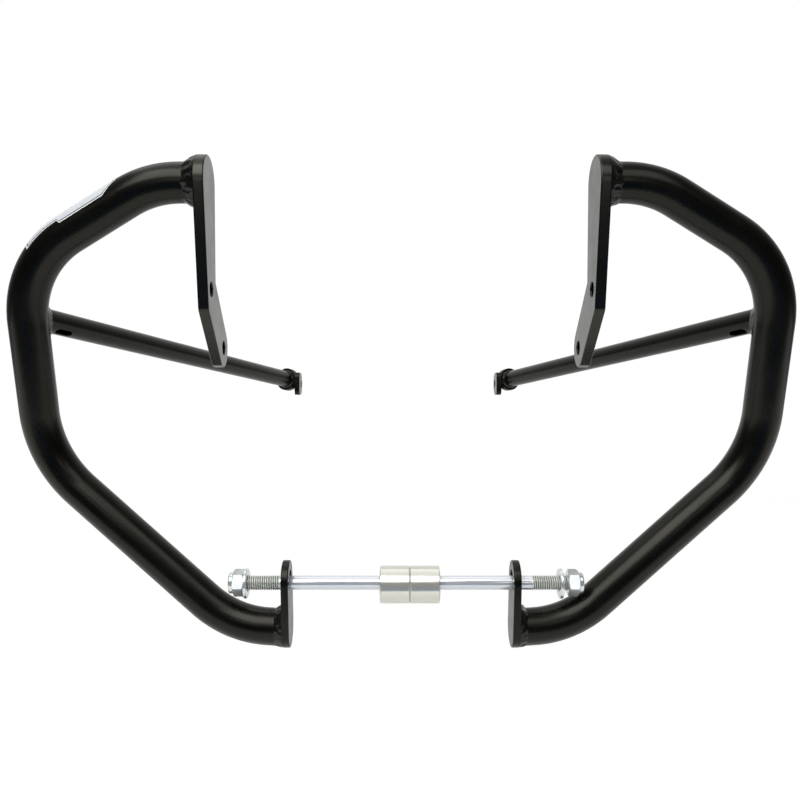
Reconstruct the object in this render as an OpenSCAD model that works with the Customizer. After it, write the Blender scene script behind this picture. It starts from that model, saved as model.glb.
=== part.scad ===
// Motorcycle crash bars: two mirrored guard bars, a through rod with its
// spacers, and the loose washers and lock nuts that hold the lower tabs.
// Millimetres. X runs to the right, Y to the rear, Z up.
// The origin is on the rod's axis, halfway between the two bars.

/* [Main tube] */
// Outside diameter of the bent guard tube
tube_d = 30; // [25:0.5:38]
// Wall thickness of the guard tube
tube_wall = 2.5; // [1.5:0.1:4]
// Centreline radius of every bend
bend_r = 81; // [60:1:100]
// How far the bars' widest corners stand outside the rod's ends
corner_out = 146; // [130:1:170]
// How far the side leg leans outward at its lower corner
side_lean = 3; // [0:1:10]
// Height of the upper corner above the rod
upper_corner_z = 250; // [235:1:270]
// Height of the lower corner above the rod
lower_corner_z = 100; // [85:1:110]
// Depth of the upper corner, negative is forward
upper_corner_y = -39; // [-50:1:-30]
// Depth of the lower corner
lower_corner_y = 11; // [0:1:20]
// Length of the straight end piece on the upper plate, to the bend corner
upper_reach = 35; // [30:1:45]
// Least length of the lower end piece, from the tab to the bend corner
lower_reach = 40; // [38:1:60]
// Clearance of the lower bend corner inward from the rod's end, for the nut
lower_inset = 4; // [-10:1:6]
// Drop of the lower end piece from its bend corner to the tab
lower_drop = 1.5; // [0:0.5:8]

/* [Upper plate] */
// Half the distance between the inner faces of the two upper plates
plate_gap = 141; // [130:1:150]
// Plate thickness
plate_t = 8; // [5:0.5:10]
// How far the plate's round top end stands out past the tube
plate_rim = 5; // [4.5:0.5:9]
// Radius of the plate's rear edge around both bolt holes
plate_tip_r = 15.5; // [13:0.5:17]
// Depth of the tube's end on the plate
plate_top_y = -60; // [-66:1:-54]
// Height of the tube's end on the plate
plate_top_z = 306; // [300:1:315]
// Depth of the upper bolt hole, at the bend of the plate
plate_mid_y = -52; // [-54:1:-48]
// Height of the upper bolt hole
plate_mid_z = 229; // [224:1:236]
// Depth of the lower bolt hole
plate_tip_y = -7; // [-9:1:-2]
// Height of the lower bolt hole
plate_tip_z = 188.5; // [186:0.5:192]
// Depth of the centre of the rounded front corner
plate_corner_y = -55.5; // [-58:0.5:-53]
// Height of the centre of the rounded front corner
plate_corner_z = 216; // [213:0.5:219]
// Radius of the front corner
plate_corner_r = 6; // [4:0.5:8]
// Depth of the centre of the rounded lowest corner
plate_foot_y = -13; // [-16:0.5:-11]
// Height of the centre of the rounded lowest corner
plate_foot_z = 177; // [175:0.5:179]
// Radius of the lowest corner
plate_foot_r = 3; // [2:0.5:4]
// Diameter of the two bolt holes
plate_hole_d = 11; // [9:0.5:13]

/* [Lower tab] */
// Half the distance between the inner faces of the two lower tabs
tab_gap = 89; // [80:1:96]
// Tab thickness
tab_t = 6; // [4:0.5:8]
// How far the tab's round ends stand out past the tube
tab_rim = 1; // [1:0.5:5]
// Height of the tab's upper centre above the rod
tab_top_z = 2; // [0:0.5:5]
// Depth of the tube's end on the tab
tab_low_y = 6; // [0:1:10]
// Drop of the tube's end on the tab below the rod
tab_low_z = 37.5; // [34:0.5:44]
// Width of the slot for the rod
slot_w = 13; // [12.5:0.1:14]
// Travel of the rod in the slot
slot_travel = 3; // [1:0.5:5]

/* [Brace] */
// Outside diameter of the brace tube
brace_d = 19; // [16:0.5:22]
// Wall thickness of the brace tube
brace_wall = 2; // [1.5:0.1:3]
// Height on the side leg where the brace leaves it
brace_start_z = 212; // [190:1:225]
// Distance of the brace's rear end from the middle plane
brace_end_x = 135; // [132:1:138]
// Depth of the brace's rear end
brace_end_y = 327; // [290:1:360]
// Height of the brace's rear end above the rod
brace_end_z = 172; // [160:1:190]
// Width of the drain hole near the front of the brace
drain_w = 6; // [3:0.5:7]
// Length of the drain hole
drain_l = 14; // [10:1:18]
// Distance of the drain hole from the side leg's axis
drain_x = 34; // [32:1:45]
// How far the drain hole is turned forward from the brace's underside
drain_turn = 38; // [0:1:60]

/* [Rear foot] */
// Diameter of the disc that closes the brace
disc_d = 26.5; // [26:0.5:30]
// Thickness of the disc
disc_t = 9; // [7:0.5:11]
// Thickness of the bolt lug
lug_t = 6; // [5:0.5:7]
// Distance of the lug's inner face from the middle plane
lug_x = 118; // [117:0.5:119]
// Radius of the lug's round end
lug_r = 13.5; // [12:0.5:15]
// Depth of the lug's bolt hole behind the front of the disc
lug_reach = 13; // [13:0.5:16]
// How far the lug's straight front edge stands before the front of the disc
lug_front = 5; // [3:0.5:6]
// Radius of the lug's two front corners
lug_corner_r = 6; // [2:0.5:10]
// Drop of the lug's bolt hole below the disc's centre
lug_drop = 5.5; // [3:0.5:7]
// Diameter of the lug's bolt hole
lug_hole_d = 9; // [6.5:0.5:11]

/* [Rod and hardware] */
// Diameter over the rod's threads
thread_d = 12; // [10:0.5:14]
// Diameter of the plain shank between the threads
shank_d = 11.3; // [9:0.1:12.4]
// Full length of the rod
rod_l = 284; // [276:1:296]
// How far the loose rod has slid to the right
rod_shift = 4; // [-1:1:4]
// Length of each thread
thread_l = 41; // [36:1:42]
// Chamfer of the rod's ends
rod_chamfer = 1.2; // [0.5:0.1:2]
// Diameter of the turned spacers
spacer_d = 30; // [26:0.5:34]
// Length of each spacer
spacer_l = 24; // [18:0.5:30]
// Bore of the spacers, loose on the shank
spacer_bore = 14; // [12.5:0.1:15]
// Distance of the spacers' joint from the middle plane
spacer_shift = 7; // [-10:0.5:10]
// Chamfer of the spacers' edges
spacer_chamfer = 0.8; // [0.3:0.1:1.5]
// Diameter of the washers
washer_d = 24; // [22:0.5:30]
// Thickness of the washers
washer_t = 2.5; // [1.5:0.1:3]
// Bore of the washers
washer_bore = 13; // [12.5:0.1:14]
// Gap between the right washer and its nut
washer_gap = 4; // [0:1:8]
// Width of the lock nuts across their flats
nut_af = 19; // [18:0.5:22]
// How far the nuts are turned from standing on a corner
nut_turn = 45; // [0:1:59]
// Height of the hexagon of the lock nuts
nut_h = 9; // [7:0.5:11]
// Diameter of the round collar on the lock nuts
collar_d = 17; // [16:0.5:18]
// Height of the collar
collar_h = 3.5; // [2.5:0.5:5]
// Diameter of the nylon ring inside the collar
nylon_d = 14.6; // [14.1:0.1:15]
// Thickness of the nylon ring
nylon_t = 2.4; // [1.5:0.1:3]

/* [Welds] */
// Height of the weld along the guard tube at both of its ends
weld_leg = 7; // [4:0.5:9]
// Height of the weld along the brace where it leaves the guard tube
brace_leg = 4.2; // [3:0.1:5]
// Width of that weld around the brace
brace_toe = 3.2; // [2:0.1:3.5]
// Height of the weld along the brace at its rear disc
foot_leg = 2.4; // [1.5:0.1:4]
// Width of the weld on the disc
foot_toe = 2; // [1:0.1:3]
// Width of the upper weld around the guard tube
upper_toe = 4.5; // [2:0.5:4.5]
// Width of the lower weld around the underside of the guard tube
lower_toe = 0.8; // [0.5:0.1:0.9]
// How much wider the lower weld is on the upper side
lower_rise = 4; // [0:0.5:5]
// Radius of the weld behind the disc that holds the lug
lug_bead_r = 3; // [2:0.5:3.5]
// Length of the lug's weld
lug_bead_l = 16; // [10:1:18]
// Ripple of the weld beads
ripple = 0.35; // [0.1:0.05:0.5]
// Swell of the beads, as a share of their width
bead_swell = 0.22; // [0.1:0.02:0.3]

/* [Look] */
// Colour of the powder-coated steel
powder_coat = "#1c1c1b"; // ["#1c1c1b", "#2a2a29"]
// Colour of the weld beads under the coat
bead_coat = "#262625"; // ["#262625", "#1c1c1b"]
// Colour of the zinc-plated hardware
zinc = "#b9c2c9"; // ["#b9c2c9", "#d0d0cc"]
// Colour of the turned spacers
aluminium = "#d8d9d8"; // ["#d8d9d8", "#c0c0c0"]
// Colour of the nylon rings
nylon = "#dfe3e6"; // ["#dfe3e6", "#3a6ea5"]

/* [Hidden] */
$fn = 96;
tube_r = tube_d / 2;
bore_r = tube_r - tube_wall;
brace_r = brace_d / 2;
plate_top_r = tube_r + plate_rim;
plate_out = plate_gap + plate_t;
tab_r = tube_r + tab_rim;
tab_out = tab_gap + tab_t;
corner_x = rod_l / 2 + corner_out;
lower_corner_x = max(tab_out + lower_reach, rod_l / 2 - lower_inset);
shank_l = rod_l - 2 * thread_l;
slot_low = (slot_w - shank_d) / 2;
// The nuts sit at the ends of the rod, with the washers on their inner faces
nut_seat = rod_l / 2 - nut_h - collar_h;
washer_sag = (washer_bore - thread_d) / 2;
spacer_sag = (spacer_bore - shank_d) / 2;
// How far a cutter reaches past the face it cuts
over = 1;
// How far the straight runs lap into the bends, and how much thinner the bends are
lap = 1;
bend_thinning = 0.05;
// How far a web's edges run inside the tangents of its two circles
seam = 0.02;
// Size of the blocks that cut an end off
reach = 2 * tube_d;
// Clearance that keeps the beads' flat facets from dipping into the round skin
weld_clear = 0.06;
// How often the search for the tube's skin halves its range
halvings = 24;
// Sections around a bead, and ripples around it
bead_steps = 72;
bead_waves = 18;
// Where the two crests of a bead's section lie, as shares from its foot to its head
bead_low = 0.3;
bead_high = 0.65;

// Corners of the guard tube's centreline, from the upper plate to the tab
path = [
    [plate_out, plate_top_y, plate_top_z],
    [plate_out + upper_reach, plate_top_y, plate_top_z],
    [corner_x, upper_corner_y, upper_corner_z],
    [corner_x + side_lean, lower_corner_y, lower_corner_z],
    [lower_corner_x, lower_corner_y, lower_drop - tab_low_z],
    [tab_out, tab_low_y, -tab_low_z]
];
ends = len(path) - 1;
side_axis = unit(path[3] - path[2]);
side_share = (brace_start_z - path[2].z) / (path[3].z - path[2].z);
brace_foot = path[2] + (path[3] - path[2]) * side_share;
brace_end = [brace_end_x, brace_end_y, brace_end_z];
brace_axis = unit(brace_end - brace_foot);
brace_l = norm(brace_end - brace_foot);
low_axis = unit(path[ends - 1] - path[ends]);
// The bend above the brace: where it meets the side leg, its centre and pivot
top_axis = unit(path[2] - path[1]);
joint_tangent = path[2] + side_axis * bend_cut(2);
joint_centre = joint_tangent + bend_r * unit(side_axis * (side_axis * top_axis) - top_axis);
joint_pivot = unit(cross(top_axis, side_axis));
lug_pin = [brace_end_y + lug_reach, brace_end_z - lug_drop];
lug_out = lug_x + lug_t;
disc_back = brace_end + brace_axis * disc_t;
// Where the disc's rear face meets the lug's outer face
lug_corner = disc_back.y + (disc_back.x - lug_out) * brace_axis.x / brace_axis.y;

function unit(v) = v / norm(v);

// A direction square to v, level where it can be
function across(v) = abs(v.z) < 0.9 ? unit(cross([0, 0, 1], v)) : unit(cross([0, 1, 0], v));

function bend_turn(i) = acos(unit(path[i] - path[i - 1]) * unit(path[i + 1] - path[i]));
function bend_cut(i) = i < 1 || i >= ends ? 0 : bend_r * tan(bend_turn(i) / 2);

// Places a shape so that its Z axis runs along v from the point p
module aim(p, v) {
    x = across(v);
    y = cross(v, x);
    multmatrix([
        [x.x, y.x, v.x, p.x],
        [x.y, y.y, v.y, p.y],
        [x.z, y.z, v.z, p.z],
        [0, 0, 0, 1]
    ])
        children();
}

module ring(outer, inner) {
    difference() {
        circle(r = outer);
        if (inner > 0) circle(r = inner);
    }
}

// A straight run between corners i and i + 1, lapped a little into its bends.
// The first run starts early by before, the last runs past its end by after.
module straight_run(i, r, before, after) {
    v = unit(path[i + 1] - path[i]);
    early = i == 0 ? before : lap - bend_cut(i);
    late = i == ends - 1 ? after : lap - bend_cut(i + 1);
    aim(path[i] - v * early, v)
        cylinder(r = r, h = norm(path[i + 1] - path[i]) + early + late);
}

// The bend at corner i, revolved about the bend's own centre
module bend_run(i, r) {
    u = unit(path[i] - path[i - 1]);
    v = unit(path[i + 1] - path[i]);
    inward = unit(v - u * (u * v));
    centre = path[i] - u * bend_cut(i) + inward * bend_r;
    up = cross(-inward, u);
    multmatrix([
        [-inward.x, u.x, up.x, centre.x],
        [-inward.y, u.y, up.y, centre.y],
        [-inward.z, u.z, up.z, centre.z],
        [0, 0, 0, 1]
    ])
        rotate_extrude(angle = bend_turn(i))
            translate([bend_r, 0])
                circle(r = r - bend_thinning);
}

module bent_bar(r, before, after) {
    union() {
        for (i = [0 : ends - 1])
            straight_run(i, r, before, after);
        for (i = [1 : ends - 1])
            bend_run(i, r);
    }
}

// The end piece on the tab runs past it and is cut off on the tab's face
module main_tube() {
    difference() {
        bent_bar(tube_r, 0, tube_r);
        bent_bar(bore_r, over, tube_r + over);
        translate([tab_out - reach, tab_low_y - reach / 2, -tab_low_z - reach / 2])
            cube(reach);
    }
}

// The flat web between two round ends. Its edges run seam inside the circles'
// outer tangents, so that they cross the circles cleanly.
module web(a, ra, b, rb) {
    d = b - a;
    turn = atan2(d.y, d.x);
    side = acos((ra - rb) / norm(d));
    left = [cos(turn + side), sin(turn + side)];
    right = [cos(turn - side), sin(turn - side)];
    polygon([
        a + (ra - seam) * right,
        b + (rb - seam) * right,
        b + (rb - seam) * left,
        a + (ra - seam) * left
    ]);
}

// A flat link with a round end of radius ra at a and rb at b
module link(a, ra, b, rb) {
    translate(a) circle(r = ra);
    translate(b) circle(r = rb);
    web(a, ra, b, rb);
}

// Stands a drawing of depth and height upright, starting at the distance x
module upright(x, t) {
    translate([x, 0, 0])
        rotate([90, 0, 90])
            linear_extrude(t)
                children();
}

module upper_plate() {
    top = [plate_top_y, plate_top_z];
    mid = [plate_mid_y, plate_mid_z];
    tip = [plate_tip_y, plate_tip_z];
    corner = [plate_corner_y, plate_corner_z];
    foot = [plate_foot_y, plate_foot_z];
    upright(plate_gap, plate_t)
        difference() {
            union() {
                link(top, plate_top_r, corner, plate_corner_r);
                link(mid, plate_tip_r, tip, plate_tip_r);
                web(top, plate_top_r, mid, plate_tip_r);
                translate(foot) circle(r = plate_foot_r);
                web(corner, plate_corner_r, foot, plate_foot_r);
                web(foot, plate_foot_r, tip, plate_tip_r);
                polygon([top, corner, foot, tip, mid]);
            }
            translate(mid) circle(d = plate_hole_d);
            translate(tip) circle(d = plate_hole_d);
        }
}

module lower_tab() {
    upright(tab_gap, tab_t)
        difference() {
            link([0, tab_top_z], tab_r, [tab_low_y, -tab_low_z], tab_r);
            link([0, slot_low], slot_w / 2, [0, slot_low + slot_travel], slot_w / 2);
        }
}

module brace_tube() {
    difference() {
        aim(brace_foot, brace_axis)
            linear_extrude(brace_l)
                ring(brace_r, brace_r - brace_wall);
        bent_bar(tube_r, 0, 0);
        aim(brace_foot, brace_axis)
            translate([0, 0, drain_x])
                rotate([0, 90, -90 - drain_turn])
                    linear_extrude(brace_d)
                        link([-drain_l / 2 + drain_w / 2, 0], drain_w / 2,
                            [drain_l / 2 - drain_w / 2, 0], drain_w / 2);
    }
}

module foot_disc() {
    aim(brace_end, brace_axis)
        cylinder(d = disc_d, h = disc_t);
}

// A D-shaped plate with rounded front corners. Its straight front edge stands
// beside the disc's rim.
module foot_lug() {
    length = lug_reach + lug_front;
    side = lug_r - lug_corner_r;
    difference() {
        upright(lug_x, lug_t)
            translate(lug_pin)
                difference() {
                    union() {
                        circle(r = lug_r);
                        translate([-length, -side])
                            square([length, 2 * side]);
                        translate([lug_corner_r - length, -lug_r])
                            square([length - lug_corner_r, 2 * lug_r]);
                        for (end = [-side, side])
                            translate([lug_corner_r - length, end])
                                circle(r = lug_corner_r);
                    }
                    circle(d = lug_hole_d);
                }
        foot_disc();
    }
}

// A rounded bead in the corner between the disc's rear face and the lug. It ends
// before the edge of the bolt hole.
module lug_weld() {
    middle_z = (brace_end_z + lug_pin.y) / 2;
    difference() {
        translate([lug_out, lug_corner, middle_z - lug_bead_l / 2])
            cylinder(r = lug_bead_r, h = lug_bead_l);
        translate([lug_out - reach, lug_corner - reach / 2, middle_z - reach / 2])
            cube(reach);
        aim(disc_back - brace_axis * reach, brace_axis)
            cylinder(r = reach, h = reach);
    }
}

// Distance of the point p from the guard tube's centreline, near the joint
// of the brace: on the side leg or on the bend above it
function off_centre(p) =
    let (w = p - joint_tangent, along = w * side_axis)
    along >= 0 ? norm(w - side_axis * along)
    : let (d = p - joint_centre, h = d * joint_pivot)
        norm([norm(d - joint_pivot * h) - bend_r, h]);

// How far along v, from the point q, the guard tube's skin lies, by halving
function skin_hit(q, v, near, far, n) =
    n == 0 ? (near + far) / 2
    : let (mid = (near + far) / 2)
        off_centre(q + v * mid) < tube_r + weld_clear
            ? skin_hit(q, v, mid, far, n - 1)
            : skin_hit(q, v, near, mid, n - 1);

// How far along v, from the point q, the plane through c square to m lies
function plane_hit(q, v, c, m) = ((c - q) * m) / (v * m);

// A closed bead: around the tube of radius r that leaves p along v, at the
// foot it stands on. on_tube is 1 on the side leg, 0 on a flat face m.
function bead_point(p, v, r, k, on_tube, m) =
    let (turn = 360 * k / bead_steps, x = across(v), y = cross(v, x),
        q = p + x * (r * cos(turn)) + y * (r * sin(turn)))
    q + v * (on_tube == 1 ? skin_hit(q, v, 0, tube_d, halvings) : plane_hit(q, v, p, m));

// The inner edge lies just outside the round tube, so the two only touch
function snug(r) = r / cos(180 / bead_steps);

// One section of a bead. Its width is toe, and up to rise more on the upper side.
function bead_section(p, v, r, leg, toe, rise, k, on_tube, m) =
    let (root = bead_point(p, v, snug(r), k, on_tube, m),
        turn = 360 * k / bead_steps, x = across(v), y = cross(v, x),
        out = x * cos(turn) + y * sin(turn),
        wide = toe + rise * max(0, out.z),
        wave = 1 + ripple * cos(360 * k * bead_waves / bead_steps),
        head = root + v * leg,
        foot = bead_point(p, v, snug(r) + wide, k, on_tube, m),
        swell = unit(out + v) * (wide * bead_swell * wave))
    [
        root,
        bead_point(p, v, snug(r) + wide / 3, k, on_tube, m),
        bead_point(p, v, snug(r) + wide * 2 / 3, k, on_tube, m),
        foot,
        foot + (head - foot) * bead_low + swell,
        foot + (head - foot) * bead_high + swell,
        head
    ];

module bead(p, v, r, leg, toe, rise = 0, on_tube = 0, m = [1, 0, 0]) {
    sections = [for (k = [0 : bead_steps - 1])
        bead_section(p, v, r, leg, toe, rise, k, on_tube, m)];
    n = len(sections[0]);
    points = [for (s = sections) each s];
    faces = [for (k = [0 : bead_steps - 1]) for (j = [0 : n - 1]) [
        k * n + j,
        k * n + (j + 1) % n,
        ((k + 1) % bead_steps) * n + (j + 1) % n,
        ((k + 1) % bead_steps) * n + j
    ]];
    polyhedron(points, faces, convexity = 6);
}

module upper_weld() {
    bead(path[0], unit(path[1] - path[0]), tube_r, weld_leg, upper_toe);
}

module lower_weld() {
    bead(path[ends], low_axis, tube_r, weld_leg, lower_toe, lower_rise);
}

module brace_weld() {
    bead(brace_foot, brace_axis, brace_r, brace_leg, brace_toe, on_tube = 1);
}

module foot_weld() {
    bead(brace_end, -brace_axis, brace_r, foot_leg, foot_toe, m = brace_axis);
}

module through_rod() {
    half = rod_l / 2;
    color(zinc)
        on_rod()
            rotate([0, 90, 0])
                rotate_extrude()
                    polygon([
                        [0, -half],
                        [thread_d / 2 - rod_chamfer, -half],
                        [thread_d / 2, rod_chamfer - half],
                        [thread_d / 2, -shank_l / 2],
                        [shank_d / 2, -shank_l / 2],
                        [shank_d / 2, shank_l / 2],
                        [thread_d / 2, shank_l / 2],
                        [thread_d / 2, half - rod_chamfer],
                        [thread_d / 2 - rod_chamfer, half],
                        [0, half]
                    ]);
}

module spacer(x) {
    color(aluminium)
        translate([x, 0, -spacer_sag])
            rotate([0, 90, 0])
                rotate_extrude()
                    polygon([
                        [spacer_bore / 2, 0],
                        [spacer_d / 2 - spacer_chamfer, 0],
                        [spacer_d / 2, spacer_chamfer],
                        [spacer_d / 2, spacer_l - spacer_chamfer],
                        [spacer_d / 2 - spacer_chamfer, spacer_l],
                        [spacer_bore / 2, spacer_l]
                    ]);
}

// A washer whose outer face is the distance x from the middle of the rod
module washer(x) {
    color(zinc)
        translate([x - washer_t, 0, -washer_sag])
            rotate([0, 90, 0])
                linear_extrude(washer_t)
                    ring(washer_d / 2, washer_bore / 2);
}

module lock_nut() {
    color(zinc)
        translate([nut_seat, 0, 0])
            rotate([0, 90, 0])
                difference() {
                    union() {
                        rotate([0, 0, nut_turn])
                            cylinder(d = nut_af / cos(30), h = nut_h, $fn = 6);
                        cylinder(d = collar_d, h = nut_h + collar_h);
                    }
                    translate([0, 0, -over])
                        cylinder(d = thread_d, h = nut_h + collar_h + 2 * over);
                    translate([0, 0, nut_h + collar_h - nylon_t])
                        cylinder(d = nylon_d, h = nylon_t + over);
                }
}

module nylon_ring() {
    color(nylon)
        translate([nut_seat + nut_h + collar_h - nylon_t, 0, 0])
            rotate([0, 90, 0])
                linear_extrude(nylon_t)
                    ring(nylon_d / 2, thread_d / 2);
}

module on_left() {
    mirror([1, 0, 0])
        children();
}

// The hardware slides with the rod
module on_rod() {
    translate([rod_shift, 0, 0])
        children();
}

module left_main_tube() { color(powder_coat) on_left() main_tube(); }
module right_main_tube() { color(powder_coat) main_tube(); }
module left_upper_plate() { color(powder_coat) on_left() upper_plate(); }
module right_upper_plate() { color(powder_coat) upper_plate(); }
module left_upper_weld() { color(bead_coat) on_left() upper_weld(); }
module right_upper_weld() { color(bead_coat) upper_weld(); }
module left_lower_tab() { color(powder_coat) on_left() lower_tab(); }
module right_lower_tab() { color(powder_coat) lower_tab(); }
module left_lower_weld() { color(bead_coat) on_left() lower_weld(); }
module right_lower_weld() { color(bead_coat) lower_weld(); }
module left_brace_tube() { color(powder_coat) on_left() brace_tube(); }
module right_brace_tube() { color(powder_coat) brace_tube(); }
module left_brace_weld() { color(bead_coat) on_left() brace_weld(); }
module right_brace_weld() { color(bead_coat) brace_weld(); }
module left_foot_disc() { color(powder_coat) on_left() foot_disc(); }
module right_foot_disc() { color(powder_coat) foot_disc(); }
module left_foot_lug() { color(powder_coat) on_left() foot_lug(); }
module right_foot_lug() { color(powder_coat) foot_lug(); }
module left_foot_weld() { color(bead_coat) on_left() foot_weld(); }
module right_foot_weld() { color(bead_coat) foot_weld(); }
module left_lug_weld() { color(bead_coat) on_left() lug_weld(); }
module right_lug_weld() { color(bead_coat) lug_weld(); }
module left_spacer() { spacer(spacer_shift - spacer_l); }
module right_spacer() { spacer(spacer_shift); }
module left_washer() { on_rod() on_left() washer(nut_seat); }
module right_washer() { on_rod() washer(nut_seat - washer_gap); }
module left_lock_nut() { on_rod() on_left() lock_nut(); }
module right_lock_nut() { on_rod() lock_nut(); }
module left_nylon_ring() { on_rod() on_left() nylon_ring(); }
module right_nylon_ring() { on_rod() nylon_ring(); }

left_main_tube();
right_main_tube();
left_upper_plate();
right_upper_plate();
left_upper_weld();
right_upper_weld();
left_lower_tab();
right_lower_tab();
left_lower_weld();
right_lower_weld();
left_brace_tube();
right_brace_tube();
left_brace_weld();
right_brace_weld();
left_foot_disc();
right_foot_disc();
left_foot_lug();
right_foot_lug();
left_foot_weld();
right_foot_weld();
left_lug_weld();
right_lug_weld();
through_rod();
left_spacer();
right_spacer();
left_washer();
right_washer();
left_lock_nut();
right_lock_nut();
left_nylon_ring();
right_nylon_ring();
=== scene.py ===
import math

import bmesh
import bpy
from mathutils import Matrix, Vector, noise
from mathutils.bvhtree import BVHTree
from mathutils.geometry import tessellate_polygon


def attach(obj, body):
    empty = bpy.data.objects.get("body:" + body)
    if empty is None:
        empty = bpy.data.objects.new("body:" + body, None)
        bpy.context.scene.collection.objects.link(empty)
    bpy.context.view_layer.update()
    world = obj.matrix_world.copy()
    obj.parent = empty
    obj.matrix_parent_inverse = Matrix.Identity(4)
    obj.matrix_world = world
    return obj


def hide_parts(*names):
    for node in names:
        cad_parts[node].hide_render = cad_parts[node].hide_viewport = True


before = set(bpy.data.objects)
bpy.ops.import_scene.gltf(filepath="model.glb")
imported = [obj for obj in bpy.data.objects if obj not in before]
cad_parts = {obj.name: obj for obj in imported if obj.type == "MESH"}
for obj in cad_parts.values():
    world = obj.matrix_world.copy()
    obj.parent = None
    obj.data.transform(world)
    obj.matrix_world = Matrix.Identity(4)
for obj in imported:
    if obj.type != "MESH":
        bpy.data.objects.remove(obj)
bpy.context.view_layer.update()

# Sizes of the frame, in millimetres. X to the right, Y to the rear, Z up, origin on the rod.
MM = 0.001
SIDES = (("right", 1), ("left", -1))
# Guard tubes: corners of the right one's centreline, from the upper plate to the lower tab
TUBE_R, BEND_R, THINNING, TUBE_SIDES = 15.0, 81.0, 0.035, 72
CORNERS = [(149.0, -60.0, 306.0), (184.0, -60.0, 306.0), (288.0, -39.0, 250.0),
           (291.0, 11.0, 100.0), (138.0, 11.0, -36.0), (95.0, 6.0, -37.5)]
# Plates and tabs: circles and holes as (depth, height, radius)
PLATE_X, PLATE_T, EDGE = 141.0, 8.0, 0.9
PLATE_BOLTS = ((-52.0, 229.0, 5.5), (-7.0, 188.5, 5.5))
TAB_X, TAB_T, TAB_R = 89.0, 6.0, 16.0
TAB_SLOT = [(0.0, 0.85, 6.5), (0.0, 3.85, 6.5)]
# Braces and their feet
BRACE_R, BRACE_WALL, BRACE_START_Z = 9.5, 2.0, 212.0
BRACE_END = Vector((135.0, 327.0, 172.0))
DRAIN_AT, DRAIN_L, DRAIN_W, DRAIN_TURN = 32.0, 16.0, 6.0, 56.0
DISC_R, DISC_T = 13.25, 9.0
LUG_X, LUG_T, LUG_R, LUG_HOLE_R, LUG_EDGE = 118.0, 6.0, 13.5, 4.5, 0.8
LUG_PIN, LUG_FRONT_Y, LUG_CORNER_R = (340.0, 166.5), 322.0, 6.0
# Welds: how far each reaches along its tube, and how far it spreads on what carries it
PLATE_WELD, TAB_WELD, BRACE_WELD, FOOT_WELD = (9.2, 4.8), (6.4, 4.0), (4.0, 3.0), (2.3, 1.8)
LUG_WELD, LUG_WELD_HALF = 2.75, 8.0
# Rod and hardware
ROD_SHIFT = 4.0
ROD_HALF, THREAD_START, THREAD_R, SHANK_R = 142.0, 101.0, 6.0, 5.65
THREAD_PITCH, THREAD_DEPTH, THREAD_FLAT, THREAD_RUN_OUT, ROD_CHAMFER = 1.75, 1.07, 0.14, 2.2, 1.2
SPACER_L, SPACER_R, SPACER_BORE, SPACER_DROP = 24.0, 15.0, 7.0, 1.35
SPACER_X = {"left": -17.0, "right": 7.0}
WASHER_R, WASHER_T, WASHER_BORE, WASHER_DROP = 12.0, 2.5, 6.5, 0.5
WASHER_GAP = {"left": 0.0, "right": 4.0}
NUT_SEAT, NUT_HALF, NUT_FACE_R, NUT_H, COLLAR_H, NUT_TURN = 129.5, 9.5, 9.1, 9.0, 3.5, 15.0
# Label: stations along the left guard tube, and angles from the front over the outer side
LABEL_START, LABEL_STEP, LABEL_END = 54.0, 105.0, 135.0
LABEL_LOW, LABEL_STEP_TURN, LABEL_TOP, LABEL_COLUMNS = 20.0, 13.0, 118.0, 24


# Small helpers for nodes

def shader(name):
    """A new material: its node tree, its Principled node and its object coordinates."""
    material = bpy.data.materials.new(name)
    material.use_nodes = True
    tree = material.node_tree
    place = tree.nodes.new("ShaderNodeTexCoord")
    return material, tree, tree.nodes["Principled BSDF"], place.outputs["Object"]


def noise_field(tree, where, scale, detail=3.0):
    """A noise of that many features a metre."""
    field = tree.nodes.new("ShaderNodeTexNoise")
    field.inputs["Scale"].default_value = scale
    field.inputs["Detail"].default_value = detail
    tree.links.new(where, field.inputs["Vector"])
    return field.outputs["Fac"]


def stretched(tree, where, scale):
    """Coordinates scaled by three factors."""
    mapping = tree.nodes.new("ShaderNodeMapping")
    mapping.inputs["Scale"].default_value = scale
    tree.links.new(where, mapping.inputs["Vector"])
    return mapping.outputs["Vector"]


def ramp(tree, value, stops):
    """A colour ramp through (position, colour) stops."""
    node = tree.nodes.new("ShaderNodeValToRGB")
    elements = node.color_ramp.elements
    while len(elements) < len(stops):
        elements.new(0.5)
    for element, (position, colour) in zip(elements, stops):
        element.position = position
        element.color = (*colour, 1.0)
    tree.links.new(value, node.inputs["Fac"])
    return node.outputs["Color"]


def remap(tree, value, low, high, start=0.3, end=0.7):
    """The value between start and end, stretched over low to high."""
    node = tree.nodes.new("ShaderNodeMapRange")
    node.inputs["From Min"].default_value = start
    node.inputs["From Max"].default_value = end
    node.inputs["To Min"].default_value = low
    node.inputs["To Max"].default_value = high
    tree.links.new(value, node.inputs["Value"])
    return node.outputs["Result"]


def bump(tree, height, distance, strength, under=None):
    """A bump of that height in metres, laid over another one."""
    node = tree.nodes.new("ShaderNodeBump")
    node.inputs["Distance"].default_value = distance
    node.inputs["Strength"].default_value = strength
    tree.links.new(height, node.inputs["Height"])
    if under:
        tree.links.new(under, node.inputs["Normal"])
    return node.outputs["Normal"]


def mixed(tree, factor, first, second, kind="MIX"):
    """Two colours mixed. The factor and each colour are a socket or a plain value."""
    node = tree.nodes.new("ShaderNodeMix")
    node.data_type = "RGBA"
    node.blend_type = kind
    for index, value in ((0, factor), (6, first), (7, second)):
        if isinstance(value, bpy.types.NodeSocket):
            tree.links.new(value, node.inputs[index])
        else:
            node.inputs[index].default_value = value
    return node.outputs[2]


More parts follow.
